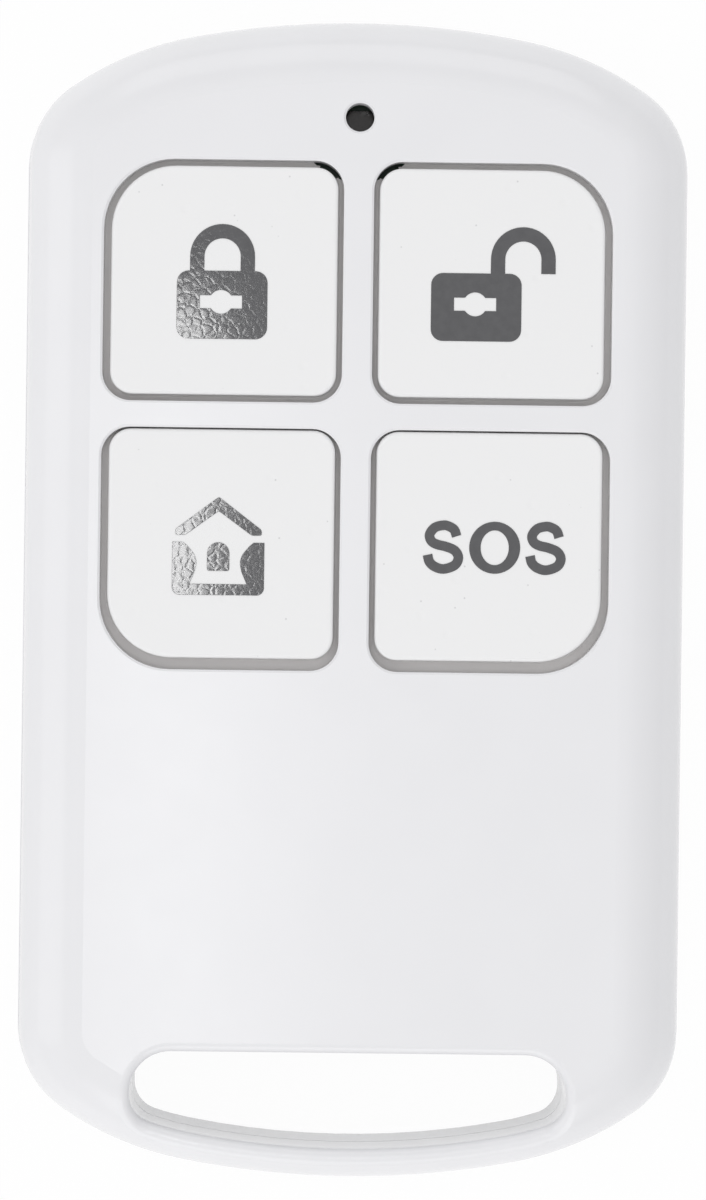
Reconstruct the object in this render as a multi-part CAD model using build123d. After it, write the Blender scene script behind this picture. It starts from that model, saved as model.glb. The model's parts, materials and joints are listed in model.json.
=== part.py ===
from build123d import *
import os
from math import asin, cos, radians, sin

# A pocket alarm key fob: two white plastic covers, a silicone keypad with four keys,
# a circuit board with a tactile switch under each key, and a coin cell behind the board.
# Millimetres. X runs across the fob, Y along it from the lanyard slot to the lamp, Z from back to front.
# The origin is the middle of the flat back. Angles are in degrees.

# Housing outline in plan: a shallow arc across each end, a shoulder, a corner and a straight side
fob_width = 36.0
fob_length = 62.9
end_arc_radius = 48.0
shoulder_radius = 17.2
corner_radius = 5.45
shoulder_turn = 35.0

# Housing walls and edges
side_wall = 1.5
front_wall = 1.2
back_wall = 1.2
front_edge_radius = 3.6
inner_edge_share = 0.57
back_edge_radius = 2.0
window_edge_bevel = 0.12

# Parting line: the front cover is a little narrower, and the back cover's tongue stands inside it
split_height = 4.2
seam_gap = 0.1
seam_step = 0.12
tongue_inset = 0.85
tongue_height = 0.8
tongue_clearance = 0.08

# Lanyard slot and the collar round it
slot_side_margin = 6.275
slot_height = 5.26
end_bar_width = 1.83
slot_upper_corner_radius = 2.2
slot_lower_corner_radius = 1.6
slot_upper_limit_share = 0.64
slot_lower_limit_share = 0.52
slot_front_rim_radius = 0.5
slot_back_rim_radius = 0.5
collar_wall = 1.1
collar_tongue_inset = 0.5

# Key windows in the front cover, between the sides and down from the lamp end
window_side_margin = 4.345
window_end_margin = 7.935
window_height = 12.98
window_bar_x = 1.61
window_bar_y = 1.41
window_outer_corner_radius = 3.8
window_inner_corner_radius = 1.55

# Silicone keypad: its pitch is a little under the windows', so the lower keys sit high in them
keypad_shrink_x = 0.1
keypad_shrink_y = 0.27
keypad_lift = 0.14
key_gap = 0.36
key_recess = 0.1
key_edge_radius = 0.2
key_side_wall = 1.7
key_hollow_corner_radius = 0.8
key_roof = 0.9
key_flange_reach = 0.5
key_flange_thickness = 0.35
key_flange_clearance = 0.05
key_travel = 0.25
nub_radius = 1.1
nub_clearance = 0.02
web_thickness = 0.4
web_margin = 0.8
web_clearance = 0.05
web_key_clearance = 0.1
lamp_notch_radius = 3.4

# Room inside, from the back wall to the front wall
clip_floor_gap = 0.15
key_room = 2.0

# Lamp and its hole
lamp_end_margin = 5.58
lamp_hole_radius = 0.77
lamp_width = 2.0
lamp_length = 1.25
lamp_base_height = 0.3
lamp_lens_height = 0.5
lamp_lens_inset = 0.1

# Screws and bosses
screw_radius = 0.8
screw_length = 5.0
screw_head_radius = 1.3
screw_head_height = 0.9
screw_head_clearance = 0.2
screw_recess_depth = 1.4
screw_hole_clearance = 0.15
pilot_clearance = 0.02
pilot_tip_room = 0.4
boss_radius = 2.1
boss_bite = 0.3
boss_room = 0.3
boss_slot_gap = 0.5
boss_turn = 45.0

# Circuit board, the ledges under it and the ribs that hold it down
board_thickness = 0.8
board_edge_gap = 0.5
ledge_depth = 1.3
ledge_width = 1.4
ledge_place_shares = (0.25, 0.5, 0.75)
rib_clearance = 0.1

# Loop antenna printed near the board's edge
antenna_inset = 1.1
antenna_width = 0.7
antenna_thickness = 0.05
antenna_length_share = 0.64

# Coin cell with its nest, clip and contact
cell_radius = 10.0
cell_thickness = 3.2
cell_cap_stand = 0.25
cell_can_wall = 0.3
cell_can_edge_bevel = 0.5
cell_seal_width = 0.35
cell_cap_depth = 0.9
cell_cap_edge_bevel = 0.25
nest_clearance = 0.3
nest_wall = 0.8
nest_height = 2.2
clip_width = 7.0
clip_thickness = 0.25
clip_cell_gap = 0.35
clip_bend_radius = 0.4
clip_foot_length = 1.8
clip_nest_gap = 0.4
contact_height = 0.2
contact_thickness = 0.12
contact_outer_radius = 4.5
contact_ring_radius = 3.4
contact_dish_radius = 1.6

# Tactile switch
switch_side = 4.4
switch_corner_radius = 0.3
switch_floor = 0.3
switch_well_radius = 1.75
switch_frame_thickness = 0.12
switch_frame_clearance = 0.03
switch_ear_width = 2.4
switch_ear_lift = 0.2
plunger_radius = 0.9
plunger_flange_clearance = 0.3
plunger_flange_thickness = 0.22
plunger_clearance = 0.06
plunger_headroom = 0.13
plunger_spare = 0.23
plunger_edge_bevel = 0.12
dome_clearance = 0.15
dome_height = 0.32
dome_thickness = 0.07
dome_plunger_gap = 0.03
terminal_width = 0.7
terminal_length = 1.0
terminal_thickness = 0.15
terminal_spacing = 3.0

# Chips on the back of the board, each as body size, lead count a side and place
lead_thickness = 0.15
lead_foot = 0.5
lead_reach = 0.95
lead_shoulder_share = 0.5
encoder_width = 3.9
encoder_length = 4.9
encoder_height = 1.4
encoder_lead_pitch = 1.27
encoder_lead_width = 0.42
encoder_leads_per_side = 4
encoder_lift = 5.0
transistor_width = 1.3
transistor_length = 2.9
transistor_height = 1.0
transistor_lead_pitch = 1.9
transistor_lead_width = 0.4
transistor_lift = 11.5
chip_standoff = 0.1
chip_edge_chamfer = 0.15
resonator_radius = 4.2
resonator_height = 3.1
resonator_top_bevel = 0.5
resonator_flange_radius = 4.65
resonator_flange_height = 0.4
resonator_pin_radius = 0.22
resonator_pin_circle_radius = 2.54
resonator_pin_count = 3
resonator_pin_stick_out = 0.4
resonator_hole_clearance = 0.05
resonator_boss_gap = 0.3
resonator_lift = 12.9
passive_width = 0.8
passive_length = 1.6
passive_height = 0.45
passive_end_length = 0.3
passive_end_rise = 0.05
passive_pitch = 2.0
resistor_count = 5
resistor_lift = 0.9
capacitor_count = 6
capacitor_lift = 8.75
inductor_width = 2.5
inductor_length = 2.0
inductor_height = 1.6
inductor_edge_radius = 0.25
inductor_lift = 4.0

# One overrun serves every cut that runs out through a face
overrun = 1.0

# Heights of the switch, stacked from its floor
plunger_foot = switch_floor + dome_height + dome_plunger_gap
switch_base_height = plunger_foot + plunger_flange_thickness + plunger_headroom
switch_height = switch_base_height + switch_frame_thickness + key_travel + plunger_spare
dome_radius = switch_well_radius - dome_clearance
plunger_flange_radius = switch_well_radius - plunger_flange_clearance

# Levels, from the back up
clip_low = back_wall + clip_floor_gap
cell_low = clip_low + clip_thickness
cell_high = cell_low + cell_thickness
board_low = cell_high + contact_height
board_high = board_low + board_thickness
ceiling = board_high + key_room
fob_thickness = ceiling + front_wall
web_high = ceiling - web_clearance
web_low = web_high - web_thickness
key_flange_high = web_low - key_flange_clearance
key_flange_low = key_flange_high - key_flange_thickness
key_top = fob_thickness - key_recess
key_ceiling = key_top - key_roof
plunger_top = board_high + switch_height
nub_low = plunger_top + nub_clearance
front_foot = split_height + seam_gap

# Places in plan
half_width = fob_width / 2
half_length = fob_length / 2
slot_length = fob_width - 2 * slot_side_margin
slot_top_y = end_bar_width + slot_height - half_length
window_width = half_width - window_side_margin - window_bar_x / 2
window_pitch_x = window_width + window_bar_x
window_pitch_y = window_height + window_bar_y
window_center_y = half_length - window_end_margin - window_height - window_bar_y / 2
keypad_pitch_x = window_pitch_x - keypad_shrink_x
keypad_pitch_y = window_pitch_y - keypad_shrink_y
keypad_center_y = window_center_y + keypad_lift
key_column_x = keypad_pitch_x / 2
lamp_y = half_length - lamp_end_margin
cell_y = slot_top_y + collar_wall + nest_wall + nest_clearance + cell_radius
cell_can_height = cell_thickness - cell_cap_stand
board_foot_y = slot_top_y + collar_wall + board_edge_gap
board_length = half_length - side_wall - board_edge_gap - board_foot_y

# The four keys by name, with the side of the fob that each one's large corner faces
key_corners = {"arm": (-1, 1), "disarm": (1, 1), "home": (-1, -1), "sos": (1, -1)}


def post(radius, low, high):
    """A round post on the Z axis from one height to another."""
    return Pos(0, 0, low) * Cylinder(radius, high - low, align=(Align.CENTER, Align.CENTER, Align.MIN))


def slab(plan, low, high):
    """A plan outline raised from one height to another."""
    return extrude(Pos(0, 0, low) * plan, amount=high - low)


def block(width, length, low, high):
    """A rectangular block on the Z axis from one height to another."""
    return slab(Rectangle(width, length), low, high)


def top_edges(solid):
    """The edges round the highest flat face."""
    return solid.faces().filter_by(Axis.Z).sort_by(Axis.Z)[-1].edges()


def bottom_edges(solid):
    """The edges round the lowest flat face."""
    return solid.faces().filter_by(Axis.Z).sort_by(Axis.Z)[0].edges()


def shoulder_start():
    """The turn from the fob's middle line at which the end arc meets the shoulder."""
    shoulder_reach = (shoulder_radius - corner_radius) * sin(radians(shoulder_turn))
    return asin((half_width - corner_radius - shoulder_reach) / (end_arc_radius - shoulder_radius))


def corner_center():
    """The centre of the housing's corner arc at the lamp end's right-hand side."""
    start = shoulder_start()
    end_step = end_arc_radius - shoulder_radius
    corner_step = shoulder_radius - corner_radius
    x = end_step * sin(start) + corner_step * sin(radians(shoulder_turn))
    y = half_length - end_arc_radius + end_step * cos(start) + corner_step * cos(radians(shoulder_turn))
    return x, y


def turned(center, radius, turn):
    """The point on a circle at a turn, in radians, from the Y axis towards the X axis."""
    return center[0] + radius * sin(turn), center[1] + radius * cos(turn)


def arc_between(center, radius, first_turn, last_turn):
    """An arc between two turns from the Y axis."""
    middle_turn = (first_turn + last_turn) / 2
    turns = (first_turn, middle_turn, last_turn)
    return ThreePointArc(*[turned(center, radius, turn) for turn in turns])


def fob_outline(inset):
    """The housing's plan outline, moved in by an inset: every arc keeps its centre."""
    start = shoulder_start()
    turn = radians(shoulder_turn)
    end_center = (0, half_length - end_arc_radius)
    shoulder_center = turned(end_center, end_arc_radius - shoulder_radius, start)
    side_center = corner_center()
    side_foot = (side_center[0] + corner_radius - inset, side_center[1])
    end_arc = arc_between(end_center, end_arc_radius - inset, -start, start)
    shoulder = arc_between(shoulder_center, shoulder_radius - inset, start, turn)
    corner = arc_between(side_center, corner_radius - inset, turn, radians(90))
    side = Line(side_foot, (side_foot[0], -side_foot[1]))
    right_corner = Curve() + [shoulder, corner]
    right = right_corner + mirror(right_corner, Plane.XZ)
    ends = Curve() + [end_arc, mirror(end_arc, Plane.XZ)]
    sides = Curve() + [side, mirror(side, Plane.YZ)]
    return make_face(ends + right + mirror(right, Plane.YZ) + sides)


def side_corners(plan, rank):
    """The corners at the two ends of a plan: rank 0 takes the lower ones and -1 the upper ones."""
    ends = plan.vertices().group_by(Axis.X)
    return [ends[side].sort_by(Axis.Y)[rank] for side in (0, -1)]


def slot_outline(grow):
    """The lanyard slot, grown by an offset: its lower side follows the fob's outline."""
    band = Rectangle(slot_length + 2 * grow, half_length)
    plan = fob_outline(end_bar_width - grow) & Pos(0, slot_top_y + grow - half_length / 2) * band
    end_height = side_corners(plan, -1)[0].Y - side_corners(plan, 0)[0].Y
    upper_radius = min(slot_upper_corner_radius + grow, end_height * slot_upper_limit_share)
    lower_radius = min(slot_lower_corner_radius + grow, end_height * slot_lower_limit_share)
    plan = fillet(side_corners(plan, -1), upper_radius)
    return fillet(side_corners(plan, 0), lower_radius)


def key_outline(corner, inset):
    """A key window's outline about its own centre, moved in by an inset."""
    width = window_width - 2 * inset
    height = window_height - 2 * inset
    outer = (corner[0] * width / 2, corner[1] * height / 2)
    plan = Rectangle(width, height)
    plan = fillet(plan.vertices().sort_by_distance(outer)[1:], window_inner_corner_radius - inset)
    return fillet(plan.vertices().sort_by_distance(outer)[0], window_outer_corner_radius - inset)


def window_place(corner):
    """The centre of a key window."""
    return Pos(corner[0] * window_pitch_x / 2, window_center_y + corner[1] * window_pitch_y / 2, 0)


def key_place(corner):
    """The centre of a key and of the switch under it."""
    return Pos(corner[0] * keypad_pitch_x / 2, keypad_center_y + corner[1] * keypad_pitch_y / 2, 0)


def upper_boss():
    """The centre of the screw boss in the lamp end's right-hand corner."""
    reach = corner_radius - side_wall - boss_radius + boss_bite
    return turned(corner_center(), reach, radians(boss_turn))


def lower_boss():
    """The centre of the screw boss above the slot's right-hand end."""
    x = half_width - side_wall - boss_radius + boss_bite
    return x, slot_top_y + collar_wall + boss_radius + boss_slot_gap


def boss_places():
    """The four screw bosses: two in the lamp end's corners and two above the slot's ends."""
    return [Pos(side * x, y, 0) for x, y in (upper_boss(), lower_boss()) for side in (-1, 1)]


def ledge_places():
    """The ledges along both sides, under the board's edges."""
    reach = half_width - side_wall - ledge_depth / 2
    rows = [board_foot_y + share * board_length for share in ledge_place_shares]
    return [Pos(side * reach, y, 0) for side in (-1, 1) for y in rows]


def hollow_plan():
    """The space inside the covers in plan: inside the side wall and clear of the slot's collar."""
    return fob_outline(side_wall) - slot_outline(collar_wall)


def front_room(bite):
    """The space inside the front cover, bevelled along its top and grown by a bite into the walls."""
    room = slab(fob_outline(side_wall - bite), front_foot - overrun, ceiling + bite)
    return chamfer(top_edges(room), (front_edge_radius - side_wall) * inner_edge_share)


def front_shell():
    """The front cover's outer form, hollowed out, with the step inside its foot for the tongue."""
    shell = slab(fob_outline(seam_step), front_foot, fob_thickness)
    shell = fillet(top_edges(shell), front_edge_radius)
    hollow = front_room(0) - slab(slot_outline(collar_wall), front_foot - overrun, fob_thickness)
    lap = fob_outline(tongue_inset - tongue_clearance)
    lap -= slot_outline(collar_tongue_inset - tongue_clearance)
    lap_top = split_height + tongue_height + tongue_clearance
    return shell - hollow - slab(lap, front_foot - overrun, lap_top)


def slot_rim(cover, low, high):
    """The edges that run round the slot between two heights."""
    reach = slot_length / 2 + seam_gap
    foot = end_bar_width - half_length - seam_gap
    boxes = [(edge, edge.bounding_box()) for edge in cover.edges()]
    level = [(edge, box) for edge, box in boxes if low < box.min.Z and box.max.Z < high]
    return [
        edge
        for edge, box in level
        if max(box.max.X, -box.min.X) < reach and foot < box.min.Y and box.max.Y < slot_top_y + seam_gap
    ]


def cut_front_slot(cover):
    """Cut the slot through the front cover and round its rim."""
    cover -= slab(slot_outline(0), front_foot - overrun, fob_thickness + overrun)
    rim = slot_rim(cover, fob_thickness - front_edge_radius / 2, fob_thickness + overrun)
    return fillet(rim, slot_front_rim_radius)


def cut_windows(cover):
    """Cut the four key windows and the lamp hole, with softened edges."""
    cuts = [window_place(corner) * key_outline(corner, 0) for corner in key_corners.values()]
    cuts.append(Pos(0, lamp_y, 0) * Circle(lamp_hole_radius))
    plan = Sketch() + cuts
    cover -= slab(plan, front_foot - overrun, fob_thickness + overrun)
    face = cover.faces().filter_by(Axis.Z).sort_by(Axis.Z)[-1]
    rims = [wire for wire in face.inner_wires() if wire.bounding_box().min.Y > slot_top_y + side_wall]
    return chamfer([edge for rim in rims for edge in rim.edges()], window_edge_bevel)


def front_cover():
    """The front cover: shell, slot, windows, lamp hole, bosses and hold-down ribs."""
    cover = cut_front_slot(front_shell())
    boss = post(boss_radius, split_height, ceiling + boss_bite)
    pilot_top = screw_recess_depth + screw_length + pilot_tip_room
    pilot = post(screw_radius + pilot_clearance, split_height - overrun, pilot_top)
    rib = block(ledge_depth + boss_bite, ledge_width, board_high + rib_clearance, ceiling + boss_bite)
    inner = [place * boss for place in boss_places()] + [place * rib for place in ledge_places()]
    cover += (Part() + inner) & front_room(boss_bite)
    return cut_windows(cover - [place * pilot for place in boss_places()])


def back_shell():
    """The back cover's outer form, hollowed out, with the tongue that stands inside the front cover."""
    shell = slab(fob_outline(0), 0, split_height)
    shell = fillet(bottom_edges(shell), back_edge_radius)
    hollow = slab(hollow_plan(), back_wall, split_height + overrun)
    tongue_plan = fob_outline(tongue_inset) - slot_outline(collar_tongue_inset) - hollow_plan()
    tongue_plan -= [place * Circle(boss_radius + seam_gap) for place in boss_places()]
    return shell - hollow + slab(tongue_plan, split_height, split_height + tongue_height)


def cut_back_slot(cover):
    """Cut the slot through the back cover and round its rim on the back face."""
    cover -= slab(slot_outline(0), -overrun, split_height + tongue_height + overrun)
    return fillet(slot_rim(cover, -overrun, back_edge_radius / 2), slot_back_rim_radius)


def cell_nest():
    """A broken ring on the back cover's floor that keeps the cell in place beside its clip."""
    inner = cell_radius + nest_clearance
    ring = post(inner + nest_wall, 0, back_wall + nest_height) - post(inner, 0, back_wall + nest_height)
    pass_width = clip_width + 2 * clip_nest_gap
    clip_way = block(fob_width, pass_width, back_wall, back_wall + nest_height)
    return Pos(0, cell_y, 0) * (ring - clip_way)


def back_cover():
    """The back cover: shell, slot, cell nest, board ledges and screw bosses with head recesses."""
    cover = cut_back_slot(back_shell())
    ledge = block(ledge_depth + boss_bite, ledge_width, back_wall / 2, board_low)
    boss = post(boss_radius, back_wall / 2, split_height)
    room_plan = fob_outline(side_wall - boss_bite) - slot_outline(collar_wall / 2)
    room = slab(room_plan, back_wall / 2, split_height)
    high_room = slab(fob_outline(side_wall), back_wall / 2, board_low)
    ledges = (Part() + [place * ledge for place in ledge_places()]) & (room + high_room)
    bosses = (Part() + [place * boss for place in boss_places()]) & room
    nest = cell_nest() & slab(hollow_plan(), back_wall / 2, board_low)
    cover = cover + ledges + bosses + nest
    hole = post(screw_radius + screw_hole_clearance, -overrun, split_height + overrun)
    recess = post(screw_head_radius + screw_head_clearance, -overrun, screw_recess_depth)
    return cover - [place * (hole + recess) for place in boss_places()]


def cover_screw():
    """A small self-tapping screw, its head down in the back cover's recess."""
    head = post(screw_head_radius, screw_recess_depth - screw_head_height, screw_recess_depth)
    return head + post(screw_radius, screw_recess_depth, screw_recess_depth + screw_length)


def keypad_web():
    """The keypad's thin web, clamped under the front wall, open at the keys, the lamp and the bosses."""
    width = keypad_pitch_x + window_width + 2 * web_margin
    height = keypad_pitch_y + window_height + 2 * web_margin
    web_corner_radius = window_outer_corner_radius + web_margin
    plan = Pos(0, keypad_center_y) * RectangleRounded(width, height, web_corner_radius)
    opening_inset = key_gap - web_key_clearance
    plan -= [key_place(corner) * key_outline(corner, opening_inset) for corner in key_corners.values()]
    plan -= Pos(0, lamp_y) * Circle(lamp_notch_radius)
    plan -= [place * Circle(boss_radius + boss_room) for place in boss_places()]
    return slab(plan, web_low, web_high)


def key(corner):
    """One key: a hollow cap with a nub over the switch and a flange that holds it under the web."""
    cap = slab(key_outline(corner, key_gap), key_flange_low, key_top)
    cap = fillet(top_edges(cap), key_edge_radius)
    cap += slab(key_outline(corner, key_gap - key_flange_reach), key_flange_low, key_flange_high)
    wall = 2 * (key_gap + key_side_wall)
    hollow = RectangleRounded(window_width - wall, window_height - wall, key_hollow_corner_radius)
    cap -= slab(hollow, key_flange_low - overrun, key_ceiling)
    cap += post(nub_radius, nub_low, key_ceiling)
    notches = Sketch() + [place * Circle(boss_radius + boss_room) for place in boss_places()]
    notches += Pos(0, lamp_y) * Circle(lamp_notch_radius)
    notches -= key_place(corner) * key_outline(corner, key_gap)
    return key_place(corner) * cap - slab(notches, key_flange_low - overrun, key_flange_high)


def circuit_board():
    """The board in plan and depth, cut short above the slot, with room for the bosses and pins."""
    board = slab(board_plan(0), board_low, board_high)
    hole_radius = resonator_pin_radius + resonator_hole_clearance
    hole = post(hole_radius, board_low - overrun, board_high + overrun)
    return board - [place * hole for place in resonator_pin_places()]


def board_plan(inset):
    """The board's outline, moved in by an inset: inside the side wall and notched round the bosses."""
    plan = fob_outline(side_wall + board_edge_gap + inset)
    plan &= Pos(0, board_foot_y + inset + half_length) * Rectangle(fob_width, fob_length)
    reach = boss_radius + boss_room + inset
    notches = [place * Circle(reach) for place in boss_places()]
    x, y = lower_boss()
    corner = Rectangle(half_width, half_width)
    corner_x = x - reach + half_width / 2
    notches += [Pos(side * corner_x, y - half_width / 2) * corner for side in (-1, 1)]
    return plan - notches


def loop_antenna():
    """The printed loop that follows the board's edge and stays open at the cell's end."""
    loop = board_plan(antenna_inset) - board_plan(antenna_inset + antenna_width)
    kept = antenna_length_share * board_length
    loop &= Pos(0, board_foot_y + board_length - kept / 2) * Rectangle(fob_width, kept)
    return slab(loop, board_high, board_high + antenna_thickness)


def lamp_base():
    """The lamp's white base on the board."""
    return Pos(0, lamp_y, 0) * block(lamp_width, lamp_length, board_high, board_high + lamp_base_height)


def lamp_lens():
    """The lamp's clear lens, tapered a little towards its top."""
    low = board_high + lamp_base_height
    foot = Pos(0, 0, low) * Rectangle(lamp_width - 2 * lamp_lens_inset, lamp_length)
    crown = Rectangle(lamp_width - 4 * lamp_lens_inset, lamp_length - lamp_lens_inset)
    return Pos(0, lamp_y, 0) * loft([foot, Pos(0, 0, low + lamp_lens_height) * crown])


def switch_base():
    """The switch's moulded base with the round well for its spring and plunger."""
    high = board_high + switch_base_height
    base = block(switch_side, switch_side, board_high, high)
    base = fillet(base.edges().filter_by(Axis.Z), switch_corner_radius)
    return base - post(switch_well_radius, board_high + switch_floor, high + overrun)


def switch_dome():
    """The domed snap spring, a thin spherical cap that stands on the well's floor."""
    low = board_high + switch_floor
    radius = (dome_radius ** 2 + dome_height ** 2) / (2 * dome_height)
    shell = Sphere(radius) - Sphere(radius - dome_thickness)
    cap = Pos(0, 0, low + dome_height - radius) * shell
    return cap & post(dome_radius, low, low + dome_height)


def switch_plunger():
    """The plunger: a stem through the frame and a flange that the frame holds back."""
    flange_low = board_high + plunger_foot
    stem = post(plunger_radius, flange_low, plunger_top)
    stem = chamfer(top_edges(stem), plunger_edge_bevel)
    return stem + post(plunger_flange_radius, flange_low, flange_low + plunger_flange_thickness)


def switch_frame():
    """The folded steel frame over the base, with a hole for the plunger and an ear down each side."""
    low = board_high + switch_base_height
    side = switch_side + 2 * (switch_frame_thickness + switch_frame_clearance)
    plate = block(side, switch_side, low, low + switch_frame_thickness)
    ear_x = (side - switch_frame_thickness) / 2
    ear = block(switch_frame_thickness, switch_ear_width, board_high + switch_ear_lift, low)
    frame = plate + Pos(ear_x, 0, 0) * ear + Pos(-ear_x, 0, 0) * ear
    return frame - post(plunger_radius + plunger_clearance, low - overrun, low + overrun)


def switch_terminals():
    """The soldered terminals, two at each end of every switch."""
    terminal = block(terminal_width, terminal_length, board_high, board_high + terminal_thickness)
    out = (switch_side + terminal_length) / 2
    column = terminal_spacing / 2
    four = [Pos(x, y, 0) * terminal for x in (-column, column) for y in (-out, out)]
    return Part() + [key_place(corner) * piece for corner in key_corners.values() for piece in four]


def under_board(x, y):
    """A place on the board's back, with the piece's own up pointing at the back cover."""
    return Pos(x, y, board_low) * Rot(180, 0, 0)


def chip_body(width, length, height):
    """A moulded chip body that stands clear of the board, with bevelled upper edges."""
    body = block(width, length, chip_standoff, height)
    return chamfer(top_edges(body), chip_edge_chamfer)


def gull_lead(width, body_width, height):
    """A formed lead: out of the body's side, down to the board and out along it."""
    half = lead_thickness / 2
    start_x = body_width / 2
    end_x = start_x + lead_reach
    knee_x = start_x + (lead_reach - lead_foot) * lead_shoulder_share
    knee_z = chip_standoff + (height - chip_standoff) * lead_shoulder_share
    path = Polyline((start_x, 0, knee_z), (knee_x, 0, knee_z), (knee_x, 0, half), (end_x, 0, half))
    section = Plane(origin=path @ 0, x_dir=(0, 1, 0), z_dir=path % 0) * Rectangle(width, lead_thickness)
    return sweep(section, path=path, transition=Transition.RIGHT)


def lead_row(lead, count, pitch):
    """A row of leads along the body's side."""
    return [Pos(0, (step - (count - 1) / 2) * pitch, 0) * lead for step in range(count)]


def encoder_place():
    """The encoder chip's place, behind the arm key's column."""
    return under_board(-key_column_x, keypad_center_y + encoder_lift)


def transistor_place():
    """The transmitter transistor's place, above the encoder chip."""
    return under_board(-key_column_x, keypad_center_y + transistor_lift)


def resonator_center():
    """The resonator's centre in plan, above the disarm key's switch and beside the screw boss."""
    x = upper_boss()[0] - boss_radius - resonator_boss_gap - resonator_flange_radius
    return x, keypad_center_y + resonator_lift


def resonator_place():
    """The resonator's place on the board's back."""
    return under_board(*resonator_center())


def encoder_chip():
    """The encoder chip's body."""
    return encoder_place() * chip_body(encoder_width, encoder_length, encoder_height)


def transistor():
    """The transmitter transistor's body."""
    return transistor_place() * chip_body(transistor_width, transistor_length, transistor_height)


def encoder_leads():
    """Four leads down each side of the encoder chip."""
    lead = gull_lead(encoder_lead_width, encoder_width, encoder_height)
    row = lead_row(lead, encoder_leads_per_side, encoder_lead_pitch)
    return encoder_place() * (Part() + row + [Rot(0, 0, 180) * piece for piece in row])


def transistor_leads():
    """Two leads on one side of the transistor and one on the other."""
    lead = gull_lead(transistor_lead_width, transistor_width, transistor_height)
    pair = lead_row(lead, 2, transistor_lead_pitch)
    return transistor_place() * (Part() + pair + [Rot(0, 0, 180) * lead])


def resonator_pin_places():
    """The resonator's pins on their circle."""
    circle = PolarLocations(resonator_pin_circle_radius, resonator_pin_count)
    return [Pos(*resonator_center(), 0) * place for place in circle.locations]


def resonator_can():
    """The resonator's drawn metal can, with a bevelled top."""
    can = post(resonator_radius, resonator_flange_height, resonator_height)
    return resonator_place() * chamfer(top_edges(can), resonator_top_bevel)


def resonator_base():
    """The resonator's flanged base against the board."""
    return resonator_place() * post(resonator_flange_radius, 0, resonator_flange_height)


def resonator_pins():
    """The resonator's pins through the board."""
    pin = post(resonator_pin_radius, board_low, board_high + resonator_pin_stick_out)
    return Part() + [place * pin for place in resonator_pin_places()]


def passive_row(count, lift):
    """A row of small chip parts, each a body between two raised metal ends."""
    end = block(passive_width, passive_end_length, 0, passive_height)
    end_y = (passive_length - passive_end_length) / 2
    width = passive_width - 2 * passive_end_rise
    body = block(width, passive_length, 0, passive_height - passive_end_rise)
    body += [Pos(0, side * end_y, 0) * end for side in (-1, 1)]
    first_x = -key_column_x - passive_pitch * (count - 1) / 2
    row_y = keypad_center_y + lift
    places = [under_board(first_x + step * passive_pitch, row_y) for step in range(count)]
    return Part() + [place * body for place in places]


def tuning_inductor():
    """The tuning inductor's rounded block."""
    body = block(inductor_width, inductor_length, 0, inductor_height)
    body = fillet(body.edges().filter_by(Axis.Z), inductor_edge_radius)
    return under_board(0, keypad_center_y + inductor_lift) * body


def cell_can():
    """The coin cell's can: bevelled at its foot, with a thin rim round the seal and cap."""
    can = chamfer(bottom_edges(post(cell_radius, 0, cell_can_height)), cell_can_edge_bevel)
    can -= post(cell_radius - cell_can_wall, cell_thickness - cell_cap_depth, cell_thickness)
    return Pos(0, cell_y, cell_low) * can


def cell_seal():
    """The ring that insulates the cell's can from its cap."""
    outer = cell_radius - cell_can_wall
    low = cell_thickness - cell_cap_depth
    ring = post(outer, low, cell_can_height) - post(outer - cell_seal_width, low, cell_can_height)
    return Pos(0, cell_y, cell_low) * ring


def cell_cap():
    """The coin cell's cap, which faces the board."""
    cap_radius = cell_radius - cell_can_wall - cell_seal_width
    cap = post(cap_radius, cell_thickness - cell_cap_depth, cell_thickness)
    return Pos(0, cell_y, cell_low) * chamfer(top_edges(cap), cell_cap_edge_bevel)


def cell_clip():
    """The bridge of spring strip under the cell, with an arm up each side and feet on the board."""
    half = clip_thickness / 2
    arm_x = cell_radius + clip_cell_gap + half
    foot_x = arm_x + clip_foot_length
    foot_z = board_low - half
    bridge_z = clip_low + half
    right = [(arm_x, 0, bridge_z), (arm_x, 0, foot_z), (foot_x, 0, foot_z)]
    left = [(-x, y, z) for x, y, z in reversed(right)]
    path = FilletPolyline(*left, *right, radius=clip_bend_radius)
    start = Plane(origin=path @ 0, x_dir=(0, 1, 0), z_dir=path % 0)
    section = start * Rectangle(clip_width, clip_thickness)
    return Pos(0, cell_y, 0) * sweep(section, path=path)


def cell_contact():
    """The dished negative contact: a ring on the board and a flat that presses on the cell's cap."""
    sheet = [
        (0, -contact_height),
        (contact_dish_radius, -contact_height),
        (contact_ring_radius, -contact_thickness),
        (contact_outer_radius, -contact_thickness),
        (contact_outer_radius, 0),
        (contact_ring_radius, 0),
        (contact_dish_radius, contact_thickness - contact_height),
        (0, contact_thickness - contact_height),
    ]
    profile = make_face(Plane.XZ * Polyline(*sheet, close=True))
    return Pos(0, cell_y, board_low) * revolve(profile, Axis.Z)


def switch_nodes():
    """Every switch's pieces, by name."""
    pieces = {
        "base": switch_base(),
        "dome": switch_dome(),
        "plunger": switch_plunger(),
        "frame": switch_frame(),
    }
    return {
        f"switch_{kind}_{name}": key_place(corner) * piece
        for name, corner in key_corners.items()
        for kind, piece in pieces.items()
    }


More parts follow.
